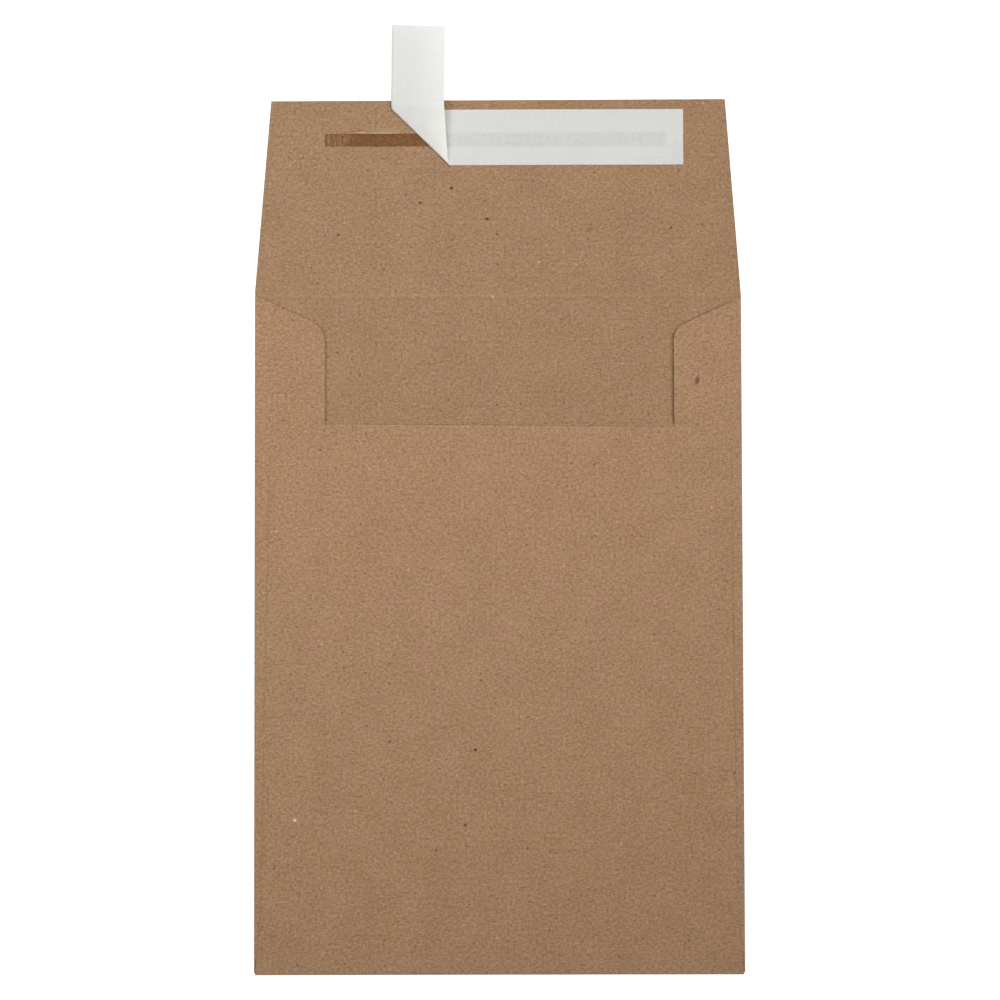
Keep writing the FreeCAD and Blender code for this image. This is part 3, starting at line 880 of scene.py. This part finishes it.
# %% [markdown]
# Hot-melt pressure-sensitive adhesive: a clear, slightly rubbery film. It wets the paper under it,
# which turns a deep brown, here more red and there more yellow, and its own surface has a soft
# gloss. Near the left end the liner took part of it away, in narrow bars across the ribbon.


# %% Adhesive material
def wet_adhesive():
    """Brown, glossy film that shows the fibres under it, streaked across where the liner pulled at it."""
    material, tree, shader = new_material("hot-melt adhesive on kraft paper")
    blank, place, tone = kraft_pattern(tree, UNMOVED)
    reddish, yellowish = (
        add_node(
            tree, "ShaderNodeMix", {0: tone, 6: colour(dark), 7: colour(light)}, data_type="RGBA"
        ).outputs[2]
        for dark, light in (("#492810", "#915D3A"), ("#492C0E", "#8B5F33"))
    )
    lean = noise_mask(tree, place, 0.32, 3.0, 0.65, 0.38, 0.62)
    paint = add_node(
        tree, "ShaderNodeMix", {0: lean, 6: reddish, 7: yellowish}, data_type="RGBA"
    ).outputs[2]
    bar_place = add_node(
        tree, "ShaderNodeMapping", {"Vector": place, "Scale": (1.5, 0.24, 1.0)}
    ).outputs["Vector"]
    bars = noise_mask(tree, bar_place, 1.0, 2.0, 0.6, 0.34, 0.68, full=0.9)
    along = add_node(tree, "ShaderNodeSeparateXYZ", {"Vector": blank}).outputs["X"]
    # The bars fade 5 to 9 mm from the left end, and the last half millimetre there is a darker rim.
    fading = {"From Min": ADHESIVE_LEFT + 9.0, "From Max": ADHESIVE_LEFT + 5.0}
    reach = add_node(
        tree, "ShaderNodeMapRange", {"Value": along, **fading, "To Min": 0.05, "To Max": 0.60}
    ).outputs["Result"]
    thin = add_node(tree, "ShaderNodeMath", {0: bars, 1: reach}, operation="MULTIPLY").outputs[0]
    ending = {"From Min": ADHESIVE_LEFT + 0.8, "From Max": ADHESIVE_LEFT + 0.3}
    rim = add_node(tree, "ShaderNodeMapRange", {"Value": along, **ending}).outputs["Result"]
    red_spot = oval_mask(tree, blank, (-42.6, 137.1), (0.45, 0.35), 0.0)
    layers = ((thin, "#A17D60", 1.0), (rim, "#6A462B", 0.7), (red_spot, "#6B3320", 1.0))
    paint = lay_over(tree, paint, layers)
    finish = {"Roughness": 0.42, "IOR": 1.48, "Specular IOR Level": 0.15}
    dress_shader(tree, shader, paint, tone, 0.3, 0.00003, finish)
    return material


adhesive.data.materials.append(wet_adhesive())
print("adhesive nodes", len(adhesive.data.materials[0].node_tree.nodes))


# %% [markdown]
# Release paper: thin bleached paper, calendered until it is dense and smooth, with a silicone coat
# on the face that lay on the adhesive. It has a faint satin sheen. Light enters it, scatters and
# leaves on either side, so some of it passes through: the shadow of the raised tail stays pale,
# and what lies close behind shows a little. The coated face, which the tail turns up, is warmer.
# Where the strip still sticks to the adhesive it looks slightly darker, as thin paper does on
# anything wet.


# %% Release paper material
def release_paper(name, low_tone, high_tone, roughness, depth):
    """Thin white satin paper with fine lengthwise streaks, darker where it lies on the adhesive.

    depth is how far light wanders inside it, in metres. The more, the more light comes through.
    """
    material, tree, shader = new_material(name)
    strip = add_node(tree, "ShaderNodeUVMap", uv_map="blank_mm").outputs["UV"]
    streak_place = add_node(
        tree, "ShaderNodeMapping", {"Vector": strip, "Scale": (0.10, 1.6, 1.0)}
    ).outputs["Vector"]
    streaks = add_node(
        tree,
        "ShaderNodeTexNoise",
        {"Vector": streak_place, "Scale": 1.0, "Detail": 2.0},
        noise_dimensions="2D",
    ).outputs["Fac"]
    cloud = add_node(
        tree,
        "ShaderNodeTexNoise",
        {"Vector": strip, "Scale": 0.9, "Detail": 4.0, "Roughness": 0.65},
        noise_dimensions="2D",
    ).outputs["Fac"]
    tone = add_node(tree, "ShaderNodeMix", {0: 0.7, 2: streaks, 3: cloud}, data_type="FLOAT").outputs[0]
    tone = add_node(
        tree, "ShaderNodeMapRange", {"Value": tone, "From Min": 0.3, "From Max": 0.7}
    ).outputs["Result"]
    paint = add_node(
        tree, "ShaderNodeMix", {0: tone, 6: colour(low_tone), 7: colour(high_tone)}, data_type="RGBA"
    ).outputs[2]
    place = add_node(tree, "ShaderNodeSeparateXYZ", {"Vector": strip}).outputs
    adhesive_middle = ADHESIVE_HIGH - ADHESIVE_WIDTH / 2 - LINER_MIDDLE_Y
    aside = add_node(
        tree, "ShaderNodeMath", {0: place["Y"], 1: -adhesive_middle}, operation="ADD"
    ).outputs[0]
    distance = add_node(tree, "ShaderNodeMath", {0: aside}, operation="ABSOLUTE").outputs[0]
    # The stuck band is a product of ramps, each from none to full: it starts at the adhesive's right
    # end, keeps near the adhesive's middle line, stops where the liner is peeled, and is blotchy.
    stuck = 1.0
    for value, none, full, least in (
        (place["X"], 4.3, 5.2, 0.0),
        (distance, 2.35, 1.55, 0.0),
        (place["X"], 71.0, 68.0, 0.0),
        (cloud, 0.3, 0.7, 0.5),
    ):
        ends = {"From Min": none, "From Max": full, "To Min": least}
        ramp = add_node(tree, "ShaderNodeMapRange", {"Value": value, **ends}).outputs["Result"]
        stuck = add_node(tree, "ShaderNodeMath", {0: stuck, 1: ramp}, operation="MULTIPLY").outputs[0]
    paint = lay_over(tree, paint, [(stuck, "#D7D6D6", 1.0)])
    finish = {"Roughness": roughness, "IOR": 1.47, "Specular IOR Level": 0.35}
    finish |= {"Subsurface Weight": 1.0, "Subsurface Radius": (1.0, 1.0, 1.0), "Subsurface Scale": depth}
    dress_shader(tree, shader, paint, tone, 0.12, 0.00002, finish)
    return material


for face, low_tone, high_tone, roughness, depth in (
    ("plain face", "#EEEEE4", "#F5F5EB", 0.55, 0.00024),
    ("silicone-coated face", "#F8F8EA", "#FCFCEE", 0.45, 0.0002),
):
    paper = release_paper("release paper, " + face, low_tone, high_tone, roughness, depth)
    liner.data.materials.append(paper)
print("liner faces", [paper.name for paper in liner.data.materials])


# %% [markdown]
# The two lines of seam glue are shut in between the layers. They keep their solids and get the
# milky, slightly shiny look of dried dextrin glue, which dries in fine ripples.


# %% Seam glue material
def dried_glue():
    """Yellowish, half-gloss film with fine ripples."""
    material, tree, shader = new_material("dried dextrin glue")
    place = add_node(tree, "ShaderNodeTexCoord").outputs["Object"]
    ripples = add_node(
        tree, "ShaderNodeTexNoise", {"Vector": place, "Scale": 900.0, "Detail": 3.0}, noise_dimensions="3D"
    ).outputs["Fac"]
    paint = add_node(
        tree, "ShaderNodeMix", {0: ripples, 6: colour("#C9B68F"), 7: colour("#DCCDAA")}, data_type="RGBA"
    ).outputs[2]
    finish = {"Roughness": 0.38, "IOR": 1.5}
    dress_shader(tree, shader, paint, ripples, 0.3, 0.00002, finish)
    return material


glue_material = dried_glue()
for name in ("left_seam_glue", "right_seam_glue"):
    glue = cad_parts[name]
    glue.data.materials.clear()
    glue.data.materials.append(glue_material)
print("glue nodes", len(glue_material.node_tree.nodes))

# %% [markdown]
# The stage is a plain white floor under even, soft light. Two soft boxes hang left and right of the
# camera's view, both turned a little to the left. They stand nearer to the top, which leaves the
# bottom of the envelope a little darker. The floor's white is a glow that only the camera,
# reflections and rays through the sheets see, and its own lit colour still takes the shadows. The
# room is dim for light and white for the camera in the same way.


# %% Floor
def seen_by(tree, *kinds):
    """1 for rays of the named kinds and 0 for others: the largest of the light path's flags."""
    rays = add_node(tree, "ShaderNodeLightPath").outputs
    seen = rays[kinds[0]]
    for kind in kinds[1:]:
        seen = add_node(tree, "ShaderNodeMath", {0: seen, 1: rays[kind]}, operation="MAXIMUM").outputs[0]
    return seen


FLOOR_SIZE = 6.0
FLOOR_GAP = 0.00003
WHITE = (1.0, 1.0, 1.0, 1.0)
bpy.ops.mesh.primitive_plane_add(size=FLOOR_SIZE, location=(0.0, 0.0, -FLOOR_GAP))
floor_plane = bpy.context.object
floor_plane.name = "floor"
floor_material = bpy.data.materials.new("pale floor")
floor_material.use_nodes = True
tree = floor_material.node_tree
tree.nodes.clear()
lit = add_node(tree, "ShaderNodeBsdfDiffuse", {"Color": (0.62, 0.62, 0.62, 1.0)}).outputs[0]
glow = add_node(tree, "ShaderNodeEmission", {"Color": WHITE, "Strength": 0.65}).outputs[0]
seen = seen_by(tree, "Is Camera Ray", "Is Glossy Ray", "Is Transmission Ray")
both = add_node(tree, "ShaderNodeAddShader", {0: lit, 1: glow}).outputs[0]
choice = add_node(tree, "ShaderNodeMixShader", {0: seen, 1: lit, 2: both}).outputs[0]
add_node(tree, "ShaderNodeOutputMaterial", {"Surface": choice})
floor_plane.data.materials.append(floor_material)
print("floor", FLOOR_SIZE, "m wide,", round(FLOOR_GAP * 1000, 3), "mm under the envelope")

# %% World and lamps
world = bpy.data.worlds.new("soft room")
bpy.context.scene.world = world
world.use_nodes = True
tree = world.node_tree
tree.nodes.clear()
seen = seen_by(tree, "Is Camera Ray", "Is Transmission Ray")
room = add_node(tree, "ShaderNodeBackground", {"Color": WHITE, "Strength": 0.17}).outputs[0]
backdrop = add_node(tree, "ShaderNodeBackground", {"Color": WHITE, "Strength": 1.0}).outputs[0]
choice = add_node(tree, "ShaderNodeMixShader", {0: seen, 1: room, 2: backdrop}).outputs[0]
add_node(tree, "ShaderNodeOutputWorld", {"Surface": choice})
LAMP_SIZE = 0.38
LAMP_SPREAD = math.radians(107.0)


def soft_lamp(name, place, aim, power):
    """Square area lamp with a grid in front, turned towards a point, in metres and watts."""
    lamp = bpy.data.lights.new(name, "AREA")
    lamp.shape = "SQUARE"
    lamp.size = LAMP_SIZE
    lamp.spread = LAMP_SPREAD
    lamp.energy = power
    holder = bpy.data.objects.new(name, lamp)
    bpy.context.scene.collection.objects.link(holder)
    way = np.array(aim) - np.array(place)
    holder.location = place
    flat = math.hypot(way[0], way[1])
    holder.rotation_euler = (math.atan2(flat, -way[2]), 0.0, math.atan2(way[1], way[0]) - math.pi / 2)
    print(name, power, "W, aimed", round(math.degrees(math.atan2(flat, -way[2])), 1), "degrees off plumb")


soft_lamp("left softbox", (-0.254, 0.143, 0.599), (-0.179, 0.158, 0.0), 0.805)
soft_lamp("right softbox", (0.300, 0.143, 0.599), (-0.139, 0.158, 0.0), 1.12)

# %% [markdown]
# The camera looks straight down from about 0.9 m. Its place and its small turn were worked out from
# the four corners of the pocket in the photograph.

# %% Camera
lens = bpy.data.cameras.new("camera")
lens.sensor_width = 36.0
lens.lens = 118.8
lens.clip_start = 0.01
lens.clip_end = 20.0
camera = bpy.data.objects.new("camera", lens)
camera.location = (0.00573, -0.01081, 0.90155)
camera.rotation_euler = (0.05291, 0.00599, -0.00241)
bpy.context.scene.collection.objects.link(camera)
bpy.context.scene.camera = camera
bpy.context.scene.view_settings.view_transform = "Standard"
print("camera", round(camera.location[2], 4), "m up, lens", round(lens.lens, 1), "mm")
